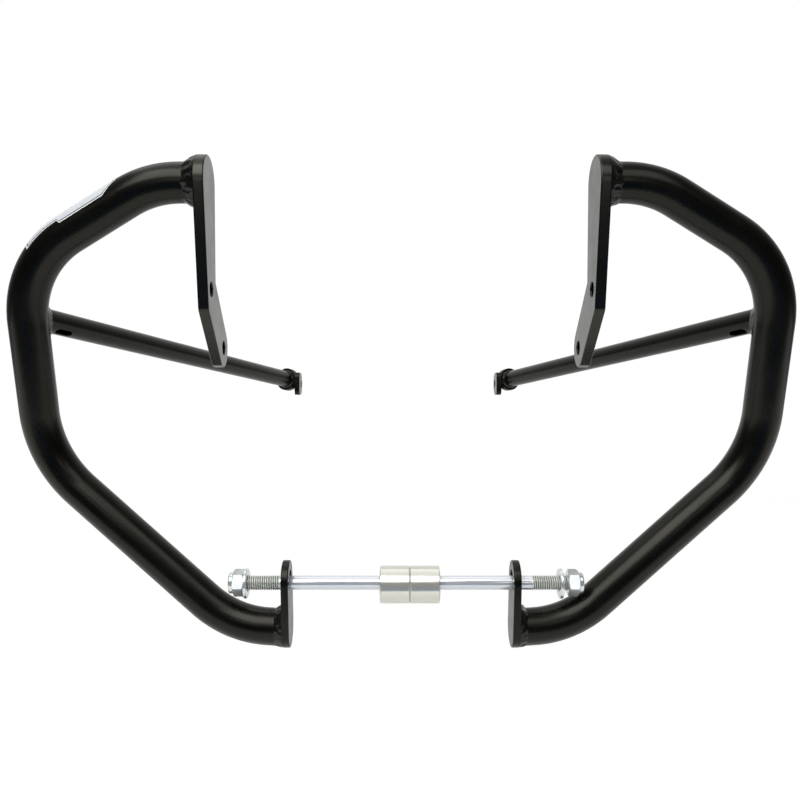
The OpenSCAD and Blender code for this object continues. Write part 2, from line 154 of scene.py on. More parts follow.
def uneven(tree, where, scale, smooth, rough):
    """A roughness that wanders between two values."""
    return remap(tree, noise_field(tree, where, scale), smooth, rough)


def pits(tree, where, scale, depth, strength, under=None, detail=2.0):
    """A noise bump of that depth in metres."""
    return bump(tree, noise_field(tree, where, scale, detail), depth, strength, under)


def calculate(tree, operation, first, second):
    """Two sockets taken together by one math node."""
    node = tree.nodes.new("ShaderNodeMath")
    node.operation = operation
    tree.links.new(first, node.inputs[0])
    tree.links.new(second, node.inputs[1])
    return node.outputs["Value"]


def finish(tree, surface, tone, rough, normal, metallic=0.0):
    """Joins a finish's colour, roughness and bump to its shader."""
    tree.links.new(tone, surface.inputs["Base Color"])
    tree.links.new(rough, surface.inputs["Roughness"])
    tree.links.new(normal, surface.inputs["Normal"])
    surface.inputs["Metallic"].default_value = metallic


def distance_to_axis(tree, where):
    """Distance to the X axis in metres."""
    radius = tree.nodes.new("ShaderNodeVectorMath")
    radius.operation = "LENGTH"
    tree.links.new(stretched(tree, where, (0.0, 1.0, 1.0)), radius.inputs[0])
    return radius.outputs["Value"]


def turned_height(tree, where, pitch):
    """Lathe marks: fine rings along X on a barrel, and round the X axis on an end face."""
    parts = tree.nodes.new("ShaderNodeSeparateXYZ")
    tree.links.new(where, parts.inputs["Vector"])
    total = calculate(tree, "ADD", parts.outputs["X"], distance_to_axis(tree, where))
    line = tree.nodes.new("ShaderNodeCombineXYZ")
    tree.links.new(total, line.inputs["X"])
    return noise_field(tree, line.outputs["Vector"], 1.0 / (pitch * MM), 2.0)


# Materials

def powder_coat(name, smooth, rough, specular):
    """Satin black powder coat: orange peel, uneven sheen and a little dust."""
    material, tree, surface, where = shader(name)
    tone = ramp(tree, noise_field(tree, where, 38.0, 4.0),
                [(0.38, (0.0010, 0.0010, 0.0007)), (0.66, (0.0022, 0.0021, 0.0016))])
    dust = ramp(tree, noise_field(tree, where, 1500.0, 2.0),
                [(0.72, (0.0, 0.0, 0.0)), (0.82, (1.0, 1.0, 1.0))])
    dusty = mixed(tree, dust, tone, (0.014, 0.0135, 0.011, 1.0))
    peel = pits(tree, where, 420.0, 0.00006, 0.35)
    finish(tree, surface, dusty, uneven(tree, where, 55.0, smooth, rough),
           pits(tree, where, 1900.0, 0.00002, 0.3, peel))
    surface.inputs["Specular IOR Level"].default_value = specular
    surface.inputs["Specular Tint"].default_value = (1.0, 0.98, 0.85, 1.0)
    return material


def weld_coat():
    """The coat over a weld: it pools in the ripples, so it is glossier and coarser."""
    material, tree, surface, where = shader("weld_coat")
    tone = ramp(tree, noise_field(tree, where, 260.0, 5.0),
                [(0.35, (0.0020, 0.0020, 0.0016)), (0.70, (0.0060, 0.0058, 0.0050))])
    coarse = pits(tree, where, 330.0, 0.0004, 0.6, detail=4.0)
    finish(tree, surface, tone, uneven(tree, where, 190.0, 0.17, 0.30),
           pits(tree, where, 1300.0, 0.00006, 0.5, coarse))
    surface.inputs["Specular IOR Level"].default_value = 0.36
    return material


def rod_steel():
    """Bright ground shank: fine rings and faint smears of oil."""
    material, tree, surface, where = shader("rod_steel")
    tone = ramp(tree, noise_field(tree, stretched(tree, where, (30.0, 160.0, 160.0)), 1.0, 4.0),
                [(0.35, (0.70, 0.75, 0.82)), (0.65, (0.78, 0.80, 0.82))])
    finish(tree, surface, tone, uneven(tree, where, 90.0, 0.10, 0.16),
           bump(tree, turned_height(tree, where, 0.25), 0.000003, 0.3), 0.5)
    return material


def zinc_plate():
    """Clear zinc plate: bluish with a yellow cast in patches, very finely pitted."""
    material, tree, surface, where = shader("zinc_plate")
    tone = ramp(tree, noise_field(tree, where, 110.0, 3.0), [
        (0.32, (0.69, 0.75, 0.79)), (0.52, (0.79, 0.82, 0.82)), (0.72, (0.83, 0.83, 0.77))])
    finish(tree, surface, tone, uneven(tree, where, 260.0, 0.13, 0.19),
           pits(tree, where, 2600.0, 0.000004, 0.3), 0.66)
    return material


def thread_zinc_painted_shade():
    """Zinc on the thread with painted shade: the colour darkens and turns greenish down toward the roots and
    is lightest on the crests.
    """
    material, tree, surface, where = shader("thread_zinc_painted_shade")
    root = THREAD_R - THREAD_DEPTH + 0.02
    # Painted shade: the colour follows the distance from the axis, dark in the thread's roots and light on
    # its crests.
    tone = ramp(tree, remap(tree, distance_to_axis(tree, where), 0.0, 1.0, root * MM, THREAD_R * MM), [
        (0.0, (0.23, 0.25, 0.21)), (0.40, (0.48, 0.51, 0.46)), (0.80, (0.88, 0.90, 0.86)),
        (1.0, (0.92, 0.92, 0.90))])
    finish(tree, surface, tone, uneven(tree, where, 260.0, 0.34, 0.44),
           pits(tree, where, 2600.0, 0.000004, 0.3), 0.45)
    return material


def turned_aluminium():
    """Turned aluminium: very fine lathe marks along the barrel and round the faces."""
    material, tree, surface, where = shader("turned_aluminium")
    marks = turned_height(tree, where, 0.3)
    tone = ramp(tree, marks, [(0.30, (0.71, 0.70, 0.64)), (0.70, (0.75, 0.74, 0.68))])
    finish(tree, surface, tone, remap(tree, marks, 0.15, 0.19), bump(tree, marks, 0.000003, 0.25), 0.62)
    return material


def nylon():
    """The white insert of a lock nut, cut by the thread."""
    material, tree, surface, where = shader("nylon")
    tone = ramp(tree, noise_field(tree, where, 600.0, 2.0),
                [(0.35, (0.66, 0.70, 0.74)), (0.65, (0.74, 0.77, 0.80))])
    finish(tree, surface, tone, uneven(tree, where, 800.0, 0.38, 0.52),
           pits(tree, where, 900.0, 0.00004, 0.4))
    surface.inputs["Subsurface Weight"].default_value = 0.2
    surface.inputs["Subsurface Scale"].default_value = 0.001
    return material


def label_foil():
    """A bare silver label. Its inset attribute is the distance to its edge in millimetres."""
    material, tree, surface, where = shader("label_foil")
    inset = tree.nodes.new("ShaderNodeAttribute")
    inset.attribute_name = "inset"
    border = ramp(tree, remap(tree, inset.outputs["Fac"], 0.0, 1.0, 0.0, 4.0), [
        (0.0, (0.97, 0.97, 0.95)), (0.22, (0.97, 0.97, 0.95)), (0.25, (0.12, 0.13, 0.15)),
        (0.44, (0.12, 0.13, 0.15)), (0.48, (0.80, 0.83, 0.86))])
    grain = ramp(tree, noise_field(tree, where, 900.0, 2.0),
                 [(0.3, (0.86, 0.87, 0.88)), (0.7, (1.0, 1.0, 1.0))])
    finish(tree, surface, mixed(tree, 1.0, border, grain, "MULTIPLY"),
           uneven(tree, where, 300.0, 0.28, 0.38), pits(tree, where, 140.0, 0.00005, 0.3), 0.12)
    return material


# Mesh building

def shade(mesh, sharp):
    """Closes the mesh, turns its faces outward and keeps its edges sharp above an angle."""
    work = bmesh.new()
    work.from_mesh(mesh)
    bmesh.ops.remove_doubles(work, verts=work.verts, dist=1e-6)
    bmesh.ops.recalc_face_normals(work, faces=work.faces)
    for face in work.faces:
        face.smooth = True
    for edge in work.edges:
        edge.smooth = len(edge.link_faces) == 2 and edge.calc_face_angle(0.0) < math.radians(sharp)
    work.to_mesh(mesh)
    work.free()


def settle(obj, material, nodes):
    """Links a finished piece, gives it its finish and lets it stand for its CAD nodes."""
    bpy.context.scene.collection.objects.link(obj)
    if not obj.data.materials:
        obj.data.materials.append(material)
    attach(obj, "root")
    if nodes:
        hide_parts(*nodes)
    return obj


def piece(name, verts, faces, material, nodes=(), side=1, sharp=35.0):
    """A piece from points in millimetres. Side -1 mirrors it onto the left bar."""
    mesh = bpy.data.meshes.new(name)
    mesh.from_pydata([(side * x * MM, y * MM, z * MM) for x, y, z in verts], [], faces)
    shade(mesh, sharp)
    return settle(bpy.data.objects.new(name, mesh), material, nodes)


def loft(rings, closed=False, caps=True):
    """Points and faces of a skin over rings of equally many points. A closed one joins its last
    ring to its first."""
    count, total = len(rings[0]), len(rings)
    verts = [point for ring in rings for point in ring]
    faces = []
    for i in range(total if closed else total - 1):
        here, there = i * count, (i + 1) % total * count
        for k in range(count):
            after = (k + 1) % count
            faces.append((here + k, here + after, there + after, there + k))
    if caps and not closed:
        faces.append(tuple(range(count)))
        faces.append(tuple((total - 1) * count + k for k in range(count)))
    return verts, faces


def turned(profile, around, drop=0.0):
    """A lathe shape about the X axis from (x, radius) points, hung lower by drop."""
    rings = []
    for x, r in profile:
        rings.append([(x, r * math.cos(math.tau * k / around), r * math.sin(math.tau * k / around) - drop)
                      for k in range(around)])
    return loft(rings, closed=True)


def across(axis):
    """Two directions square to an axis and to each other."""
    side = Vector((0.0, 0.0, 1.0)).cross(axis).normalized()
    return side, axis.cross(side)


# Flat links with round ends: plates, tabs and lugs

def loop_outline(stops, inset, steps=20):
    """The outline round a ring of circles (depth, height, radius), counter-clockwise. A circle
    that the outline passes on its hollow side is met in a sharp inner corner."""
    legs = []
    for (ay, az, ar), (by, bz, br) in zip(stops, stops[1:] + stops[:1]):
        turn = math.atan2(bz - az, by - ay)
        legs.append(turn - math.acos((ar - br) / math.hypot(by - ay, bz - az)))
    outline = []
    for (y, z, r), start, end in zip(stops, legs[-1:] + legs[:-1], legs):
        swing = (end - start) % math.tau
        r -= inset
        if swing > math.radians(225.0):
            swing -= math.tau
            middle, reach = start + swing / 2, r / math.cos(swing / 2)
            outline.append((y + reach * math.cos(middle), z + reach * math.sin(middle)))
        else:
            turns = [start + swing * k / steps for k in range(steps + 1)]
            outline += [(y + r * math.cos(turn), z + r * math.sin(turn)) for turn in turns]
    return outline


def round_outline(y, z, r, inset, steps=48):
    """A round hole's edge. A positive inset widens the hole, as it lies in the metal."""
    r += inset
    turns = [math.tau * k / steps for k in range(steps)]
    return [(y + r * math.cos(turn), z + r * math.sin(turn)) for turn in turns]


def slab(x, thickness, edge, outlines):
    """A flat part with rounded edges. Each outline is a function of its inset from the edge."""
    half_profile = [(edge + 0.4, 0.0)]
    for k in range(5):
        turn = math.radians(22.5 * k)
        half_profile.append((edge * (1 - math.sin(turn)), edge * (1 - math.cos(turn))))
    half_profile.append((0.0, edge + 0.4))
    profile = half_profile + [(inset, thickness - depth) for inset, depth in reversed(half_profile)]
    verts, faces, first_loops, last_loops = [], [], [], []
    for outline in outlines:
        rings = [[(x + depth, y, z) for y, z in outline(inset)] for inset, depth in profile]
        ring_verts, ring_faces = loft(rings, caps=False)
        base = len(verts)
        verts += ring_verts
        faces += [tuple(base + i for i in face) for face in ring_faces]
        count = len(rings[0])
        first_loops.append(range(base, base + count))
        last_loops.append(range(base + count * (len(rings) - 1), base + count * len(rings)))
    for loops in (first_loops, last_loops):
        index = [i for loop in loops for i in loop]
        for triangle in tessellate_polygon([[Vector(verts[i]) for i in loop] for loop in loops]):
            faces.append(tuple(index[i] for i in triangle))
    return verts, faces


def upper_plate(name, side, coat):
    """The bent flat plate: round top, sharp front corner, round rear edges at both bolt holes."""
    top, mid, tip = (-60.0, 306.0, 20.0), (-52.0, 229.0, 15.5), (-7.0, 188.5, 15.5)
    corner, foot = (-55.5, 216.0, 6.0), (-13.0, 177.0, 3.0)
    verts, faces = slab(PLATE_X, PLATE_T, EDGE, [
        lambda inset: loop_outline([top, corner, foot, tip, mid], inset),
        lambda inset: round_outline(*PLATE_BOLTS[0], inset),
        lambda inset: round_outline(*PLATE_BOLTS[1], inset)])
    piece(name + "_plate", verts, faces, coat, [name + "_upper_plate"], side)


def lower_tab(name, side, coat):
    """The tab with two round ends, and its slot for the rod."""
    ends = [(0.0, 2.0, TAB_R), (6.0, -37.5, TAB_R)]
    verts, faces = slab(TAB_X, TAB_T, EDGE, [
        lambda inset: loop_outline(ends, inset, 40),
        lambda inset: loop_outline(TAB_SLOT, -inset, 24)])
    piece(name + "_tab", verts, faces, coat, [name + "_lower_tab"], side)


# The bent guard tubes

def bent_line(corners, step=1.0):
    """Points about one step apart along the filleted centreline, each with its direction."""
    corners = [Vector(c) for c in corners]
    nodes = [corners[0]]
    for i in range(1, len(corners) - 1):
        before = (corners[i] - corners[i - 1]).normalized()
        after = (corners[i + 1] - corners[i]).normalized()
        turn = before.angle(after)
        cut = BEND_R * math.tan(turn / 2)
        inward = (after - before * before.dot(after)).normalized()
        start = corners[i] - before * cut
        count = max(4, int(BEND_R * turn / step))
        for k in range(count + 1):
            a = turn * k / count
            nodes.append(start + before * (BEND_R * math.sin(a)) + inward * (BEND_R * (1 - math.cos(a))))
    nodes.append(corners[-1])
    line = []
    for a, b in zip(nodes, nodes[1:]):
        count = max(1, round((b - a).length / step))
        line += [(a.lerp(b, k / count), (b - a).normalized()) for k in range(count)]
    line.append((nodes[-1], (nodes[-1] - nodes[-2]).normalized()))
    return line


def tube_tree():
    """Sweeps a ring along corners joined by edges: rounds each corner to the bend radius,
    and draws the tube in a little where it was bent."""
    tree = bpy.data.node_groups.new("bent_tube", "GeometryNodeTree")
    face = tree.interface
    face.new_socket("Geometry", in_out="INPUT", socket_type="NodeSocketGeometry")
    for title, value in (("Tube Radius", TUBE_R * MM), ("Bend Radius", BEND_R * MM), ("Thinning", THINNING)):
        face.new_socket(title, in_out="INPUT", socket_type="NodeSocketFloat").default_value = value
    face.new_socket("Sides", in_out="INPUT", socket_type="NodeSocketInt").default_value = TUBE_SIDES
    face.new_socket("Coat", in_out="INPUT", socket_type="NodeSocketMaterial")
    face.new_socket("Geometry", in_out="OUTPUT", socket_type="NodeSocketGeometry")
    add, link = tree.nodes.new, tree.links.new
    inputs, outputs = add("NodeGroupInput"), add("NodeGroupOutput")

    to_curve, fillet = add("GeometryNodeMeshToCurve"), add("GeometryNodeFilletCurve")
    fillet.mode = "POLY"
    fillet.inputs["Count"].default_value = 60
    resample = add("GeometryNodeResampleCurve")
    resample.mode = "LENGTH"
    resample.inputs["Length"].default_value = 0.0018
    link(inputs.outputs["Geometry"], to_curve.inputs["Mesh"])
    link(to_curve.outputs["Curve"], fillet.inputs["Curve"])
    link(inputs.outputs["Bend Radius"], fillet.inputs["Radius"])
    link(fillet.outputs["Curve"], resample.inputs["Curve"])

    # How much the direction changes from the point before to the point after
    tangent, index = add("GeometryNodeInputTangent"), add("GeometryNodeInputIndex")
    neighbours = []
    for offset in (-3, 3):
        shifted = add("ShaderNodeMath")
        shifted.inputs[1].default_value = offset
        link(index.outputs["Index"], shifted.inputs[0])
        sample = add("GeometryNodeFieldAtIndex")
        sample.data_type = "FLOAT_VECTOR"
        link(shifted.outputs["Value"], sample.inputs["Index"])
        link(tangent.outputs["Tangent"], sample.inputs["Value"])
        neighbours.append(sample.outputs["Value"])
    change, size = add("ShaderNodeVectorMath"), add("ShaderNodeVectorMath")
    change.operation, size.operation = "SUBTRACT", "LENGTH"
    link(neighbours[0], change.inputs[0])
    link(neighbours[1], change.inputs[1])
    link(change.outputs["Vector"], size.inputs[0])
    bent = add("ShaderNodeMapRange")
    bent.inputs["From Max"].default_value = 0.11
    link(size.outputs["Value"], bent.inputs["Value"])
    blur = add("GeometryNodeBlurAttribute")
    blur.inputs["Iterations"].default_value = 12
    link(bent.outputs["Result"], blur.inputs["Value"])
    drawn, width = add("ShaderNodeMath"), add("ShaderNodeMath")
    drawn.operation, width.operation = "MULTIPLY", "SUBTRACT"
    link(blur.outputs["Value"], drawn.inputs[0])
    link(inputs.outputs["Thinning"], drawn.inputs[1])
    width.inputs[0].default_value = 1.0
    link(drawn.outputs["Value"], width.inputs[1])

    radius, ring = add("GeometryNodeSetCurveRadius"), add("GeometryNodeCurvePrimitiveCircle")
    sweep = add("GeometryNodeCurveToMesh")
    link(resample.outputs["Curve"], radius.inputs["Curve"])
    link(width.outputs["Value"], radius.inputs["Radius"])
    link(inputs.outputs["Sides"], ring.inputs["Resolution"])
    link(inputs.outputs["Tube Radius"], ring.inputs["Radius"])
    link(radius.outputs["Curve"], sweep.inputs["Curve"])
    link(ring.outputs["Curve"], sweep.inputs["Profile Curve"])
    sweep.inputs["Fill Caps"].default_value = True
    smooth, real = add("GeometryNodeSetShadeSmooth"), add("GeometryNodeRealizeInstances")
    coat = add("GeometryNodeSetMaterial")
    link(sweep.outputs["Mesh"], smooth.inputs["Geometry"])
    link(smooth.outputs["Geometry"], real.inputs["Geometry"])
    link(real.outputs["Geometry"], coat.inputs["Geometry"])
    link(inputs.outputs["Coat"], coat.inputs["Material"])
    link(coat.outputs["Geometry"], outputs.inputs["Geometry"])
    return tree


def guard_tube(name, side, tree, coat):
    """One bent guard tube. Its ends are let a little into the plate and the tab."""
    corners = [Vector(c) for c in CORNERS]
    corners[0].x -= 0.4
    corners[-1] += (corners[-1] - corners[-2]).normalized() * 8.0
    mesh = bpy.data.meshes.new(name + "_line")
    mesh.from_pydata([(side * c.x * MM, c.y * MM, c.z * MM) for c in corners],
                     [(i, i + 1) for i in range(len(corners) - 1)], [])
    line = bpy.data.objects.new(name + "_line", mesh)
    bpy.context.scene.collection.objects.link(line)
    sweep = line.modifiers.new("bent_tube", "NODES")
    sweep.node_group = tree
    sockets = {item.name: item.identifier for item in tree.interface.items_tree if item.in_out == "INPUT"}
    for title, value in (("Tube Radius", TUBE_R * MM), ("Bend Radius", BEND_R * MM),
                         ("Thinning", THINNING), ("Sides", TUBE_SIDES), ("Coat", coat)):
        sweep[sockets[title]] = value
    bpy.context.view_layer.update()
    graph = bpy.context.evaluated_depsgraph_get()
    swept = bpy.data.meshes.new_from_object(line.evaluated_get(graph))
    bpy.data.objects.remove(line)
    work = bmesh.new()
    work.from_mesh(swept)
    cut = bmesh.ops.bisect_plane(work, geom=work.verts[:] + work.edges[:] + work.faces[:],
                                 plane_co=(side * (TAB_X + TAB_T - 0.3) * MM, 0, 0),
                                 plane_no=(-side, 0, 0), clear_outer=True)
    bmesh.ops.holes_fill(work, edges=[e for e in cut["geom_cut"] if isinstance(e, bmesh.types.BMEdge)])
    work.to_mesh(swept)
    work.free()
    swept.name = name + "_guard_tube"
    shade(swept, 40.0)
    return settle(bpy.data.objects.new(name + "_guard_tube", swept), coat,
                  [name + "_main_tube"])


def skin_of(obj):
    """The piece's surface, to land other pieces on."""
    work = bmesh.new()
    work.from_mesh(obj.data)
    skin = BVHTree.FromBMesh(work)
    work.free()
    return skin


# Weld beads

def bead(name, side, foot, axis, radius, leg, toe, land, coat, nodes, seed, steps=300):
    """A lumpy fillet weld round a tube that leaves foot along axis. It reaches a leg along the
    tube and spreads by toe(out) on what carries it, which land(q) finds along the axis from the
    point q. The seed gives each bead its own lumps."""
    x, y = across(axis)
    rings = []
    for k in range(steps):
        turn = math.tau * k / steps
        out = x * math.cos(turn) + y * math.sin(turn)
        spot = out * 1.7 + Vector((seed, 0.0, 0.0))
        reach = leg * (1.0 + 0.16 * noise.noise(spot * 2.0))
        spread = toe(out) * (1.0 + 0.10 * noise.noise(spot * 2.6 + Vector((9.0, 0.0, 0.0))))
        inner = foot + out * (radius - 0.5)
        low = foot + out * (radius + spread)
        wall = foot + out * radius
        head = wall + axis * (land(wall) + reach)
        toe_point = low + axis * (land(low) - 0.15)
        push = (out + axis).normalized()
        ring = [inner + axis * (land(wall) + reach - 0.4), inner + axis * (land(wall) - 0.3)]
        for j in range(13):
            t = j / 12
            scallop = math.sin(turn * radius / 1.05 + 2.2 * (t - 0.5) ** 2)
            lump = noise.noise(spot * 3.1 + axis * (t * 1.6))
            swell = math.sin(math.pi * t)
            lift = swell * (0.25 + 0.11 * leg * lump + 0.12 * scallop)
            ring.append(toe_point.lerp(head, t) + push * lift)
        rings.append([tuple(p) for p in ring])
    verts, faces = loft(rings, closed=True)
    piece(name, verts, faces, coat, nodes, side, sharp=75.0)


def plane_landing(point, normal, axis):
    """Distance along the axis from a point to a plane."""
    return lambda q: (point - q).dot(normal) / axis.dot(normal)


def skin_landing(skin, side, axis):
    """Distance along the axis from a point to a round skin, found from outside."""
    mirror = Vector((side, 1.0, 1.0))

    def land(q):
        start = q + axis * 40.0
        hit = skin.ray_cast(start * mirror * MM, -axis * mirror)[0]
        return 40.0 - (hit / MM * mirror - start).length
    return land


def tab_toe(out):
    """The lower weld spreads upward on the tab and ends at the tab's round edge below."""
    return 0.8 + TAB_WELD[1] * max(0.0, out.z)


def bar_welds(name, side, skin, coat):
    """The beads at both ends of the guard tube and of the brace."""
    corners = [Vector(c) for c in CORNERS]
    top = Vector((1.0, 0.0, 0.0))
    bead(name + "_plate_bead", side, corners[0], top, TUBE_R, PLATE_WELD[0], lambda out: PLATE_WELD[1],
         plane_landing(corners[0], top, top), coat, [name + "_upper_weld"], 3.0 + side)
    low = (corners[4] - corners[5]).normalized()
    bead(name + "_tab_bead", side, corners[5], low, TUBE_R, TAB_WELD[0], tab_toe,
         plane_landing(corners[5], top, low), coat, [name + "_lower_weld"], 11.0 + side)
    foot, axis = brace_line()
    bead(name + "_brace_bead", side, foot, axis, BRACE_R, BRACE_WELD[0], lambda out: BRACE_WELD[1],
         skin_landing(skin, side, axis), coat, [name + "_brace_weld"], 21.0 + side, 220)
    back = -axis
    bead(name + "_foot_bead", side, BRACE_END, back, BRACE_R, FOOT_WELD[0], lambda out: FOOT_WELD[1],
         plane_landing(BRACE_END, back, back), coat, [name + "_foot_weld"], 31.0 + side, 220)


# Braces and their feet

def brace_line():
    """Where the brace leaves the guard tube's axis, and its direction."""
    upper, lower = Vector(CORNERS[2]), Vector(CORNERS[3])
    foot = upper.lerp(lower, (BRACE_START_Z - upper.z) / (lower.z - upper.z))
    return foot, (BRACE_END - foot).normalized()


def foot_disc(name, side, coat):
    """The thick disc that closes the brace, with broken edges."""
    axis = brace_line()[1]
    x, y = across(axis)
    rings = []
    half_profile = [(0.0, 0.3), (0.0, DISC_R - 1.25), (0.0, DISC_R - 0.85), (0.25, DISC_R - 0.3),
                    (0.8, DISC_R)]
    for along, r in half_profile + [(DISC_T - along, r) for along, r in reversed(half_profile)]:
        rings.append([tuple(BRACE_END + axis * along + x * (r * math.cos(math.tau * k / 72))
                            + y * (r * math.sin(math.tau * k / 72))) for k in range(72)])
    verts, faces = loft(rings)
    piece(name + "_disc", verts, faces, coat, [name + "_foot_disc"], side)


def foot_lug(name, side, coat):
    """The D-shaped lug with its bolt hole. Its straight front edge stands beside the disc."""
    y, z = LUG_PIN
    front, rise = LUG_FRONT_Y + LUG_CORNER_R, LUG_R - LUG_CORNER_R
    stops = [(y, z, LUG_R), (front, z + rise, LUG_CORNER_R), (front, z - rise, LUG_CORNER_R)]
    verts, faces = slab(LUG_X, LUG_T, LUG_EDGE, [
        lambda inset: loop_outline(stops, inset),
        lambda inset: round_outline(y, z, LUG_HOLE_R, inset)])
    piece(name + "_lug", verts, faces, coat, [name + "_foot_lug"], side)


def lug_bead(name, side, coat):
    """The short rippled bead that holds the lug in the corner behind the disc."""
    axis = brace_line()[1]
    face, back = LUG_X + LUG_T, BRACE_END + axis * DISC_T
    middle, steps, around = (BRACE_END.z + LUG_PIN[1]) / 2, 64, 10
    on_disc = Vector((axis.y, -axis.x, 0.0)).normalized()
    wedge = on_disc.angle(Vector((0.0, 1.0, 0.0)))
    rings = []
    for i in range(steps + 1):
        share = 2.0 * i / steps - 1.0
        z = middle + LUG_WELD_HALF * share
        y = back.y + ((back.x - face) * axis.x - (z - back.z) * axis.z) / axis.y
        size = LUG_WELD * math.sqrt(max(0.01, 1.0 - share ** 6)) * (1.0 + 0.07 * math.sin(i * 1.15))
        ring = [(face - 0.2, y - 0.2, z)]
        for k in range(around + 1):
            turn = wedge * k / around
            lump = size * (1.0 + 0.06 * noise.noise(Vector((k * 0.4, z * 0.5, side))))
            ring.append((face + lump * math.sin(turn), y + lump * math.cos(turn), z))
        rings.append(ring)
    verts, faces = loft(rings)
    piece(name + "_lug_bead", verts, faces, coat, [name + "_lug_weld"], side, sharp=60.0)


def slot_point(u, v, radius):
    """The point of the drain slot's outline, widened to that radius, that faces (u, v)."""
    middle = max(-DRAIN_L / 2 + DRAIN_W / 2, min(DRAIN_L / 2 - DRAIN_W / 2, u))
    away = math.hypot(u - middle, v)
    return middle + (u - middle) * radius / away, v * radius / away


def brace_tube(name, side, coat):
    """The brace with its drain slot, low on the front near the joint. The slot stands in a
    patch of the tube's grid, from whose border rings of points close in on its outline."""
    foot, axis = brace_line()
    inward, up = across(axis)
    length = (BRACE_END - foot).length
    patch_length, patch_width, around = 12, 7, 72
    stations = [10.0, 16.0]
    first, last = len(stations), len(stations) + 2 * patch_length
    stations += [DRAIN_AT + k for k in range(-patch_length, patch_length + 1)]
    stations += [stations[-1] + (length - stations[-1]) * k / 12 for k in range(1, 13)]
    verts, faces = [], []

    def spot(along, turn, radius):
        turn += math.radians(DRAIN_TURN)
        verts.append(tuple(foot + axis * along + (inward * math.cos(turn) - up * math.sin(turn)) * radius))
        return len(verts) - 1

    def join(here, there):
        count = len(here)
        faces.extend((here[k], here[(k + 1) % count], there[(k + 1) % count], there[k]) for k in range(count))

    rim = [(first, k) for k in range(-patch_width, patch_width)]
    rim += [(i, patch_width) for i in range(first, last)]
    rim += [(last, k) for k in range(patch_width, -patch_width, -1)]
    rim += [(i, -patch_width) for i in range(last, first, -1)]
    outer, inner = BRACE_R, BRACE_R - BRACE_WALL
    ends, borders = [], []
    for radius in (outer, inner):
        grid = [[spot(s, math.tau * k / around, radius) for k in range(around)] for s in stations]
        for i in range(len(stations) - 1):
            for k in range(around):
                if not (first <= i < last and (k < patch_width or k >= around - patch_width)):
                    after = (k + 1) % around
                    faces.append((grid[i][k], grid[i][after], grid[i + 1][after], grid[i + 1][k]))
        ends.append((grid[0], grid[-1]))
        borders.append([grid[i][k % around] for i, k in rim])
    for here, there in zip(*ends):
        join(here, there)

    # Each ring goes a share of the way to the slot's outline, which its half width sets
    flat = [(stations[i] - DRAIN_AT, outer * math.tau * k / around) for i, k in rim]
    edge = DRAIN_W / 2
    loops = [borders[0]]
    for share, reach, radius in (
            (0.35, edge + 0.4, outer), (0.7, edge + 0.4, outer), (1.0, edge + 0.4, outer),
            (1.0, edge + 0.12, outer - 0.12), (1.0, edge, outer - 0.4),
            (1.0, edge, inner + 0.3), (1.0, edge + 0.3, inner), (0.5, edge + 0.3, inner)):
        loop = []
        for u, v in flat:
            to_u, to_v = slot_point(u, v, reach)
            loop.append(spot(DRAIN_AT + u + (to_u - u) * share, (v + (to_v - v) * share) / outer, radius))
        loops.append(loop)
    loops.append(borders[1])
    for here, there in zip(loops, loops[1:]):
        join(here, there)
    piece(name + "_brace", verts, faces, coat, [name + "_brace_tube"], side)


# Rod and hardware

def thread_radius(x, turn):
    """Radius of the rod at that distance from its middle and that angle. Crest and root are flat
    over THREAD_FLAT of the pitch each."""
    along = abs(x)
    if along <= THREAD_START:
        return SHANK_R
    start = min(1.0, (along - THREAD_START) / THREAD_RUN_OUT)
    phase = (x / THREAD_PITCH - turn / math.tau) % 1.0
    flank = min(1.0, max(0.0, (abs(2.0 * phase - 1.0) - THREAD_FLAT) / (1.0 - 2.0 * THREAD_FLAT)))
    crest = SHANK_R + (THREAD_R - SHANK_R) * start
    point = crest - THREAD_DEPTH * start * flank
    return min(point, THREAD_R - max(0.0, along - (ROD_HALF - ROD_CHAMFER)))


def through_rod(bright, plated):
    """The rod: a bright shank between two rolled threads. The rings stand one step of the
    pitch apart for each step around, so each triangle has an edge along the helix."""
    around = 28
    step = THREAD_PITCH / around
    first, last = math.ceil(THREAD_START / step), math.floor((ROD_HALF - 0.02) / step)
    thread = [k * step for k in range(first, last + 1)] + [ROD_HALF]
    stations = [-x for x in reversed(thread)] + [-60.0, 0.0, 60.0] + thread
    rings = []
    for x in stations:
        ring = []
        for k in range(around):
            turn = math.tau * k / around
            r = thread_radius(x, turn)
            ring.append((x + ROD_SHIFT, r * math.cos(turn), r * math.sin(turn)))
        rings.append(ring)
    verts, quads = loft(rings, caps=False)
    faces = [half for a, b, c, d in quads for half in ((a, b, c), (a, c, d))]
    faces += [tuple(range(around)), tuple(len(verts) - around + k for k in range(around))]
    rod = piece("rod", verts, faces, bright, ["through_rod"], sharp=75.0)
    rod.data.materials.append(plated)
    for polygon in rod.data.polygons:
        polygon.material_index = int(abs(polygon.center.x - ROD_SHIFT * MM) > THREAD_START * MM)


def spacer(name, metal):
    """A turned sleeve with chamfered edges, hanging on the rod."""
    x, r, bore = SPACER_X[name], SPACER_R, SPACER_BORE
    end = x + SPACER_L
    profile = [(x + 0.5, bore), (x, bore + 0.5), (x, r - 1.1), (x + 0.1, r - 0.8), (x + 0.5, r - 0.2),
               (x + 0.8, r), (end - 0.8, r), (end - 0.5, r - 0.2), (end - 0.1, r - 0.8),
               (end, r - 1.1), (end, bore + 0.5), (end - 0.5, bore)]
    verts, faces = turned(profile, 128, drop=SPACER_DROP)
    piece(name + "_sleeve", verts, faces, metal, [name + "_spacer"], sharp=25.0)


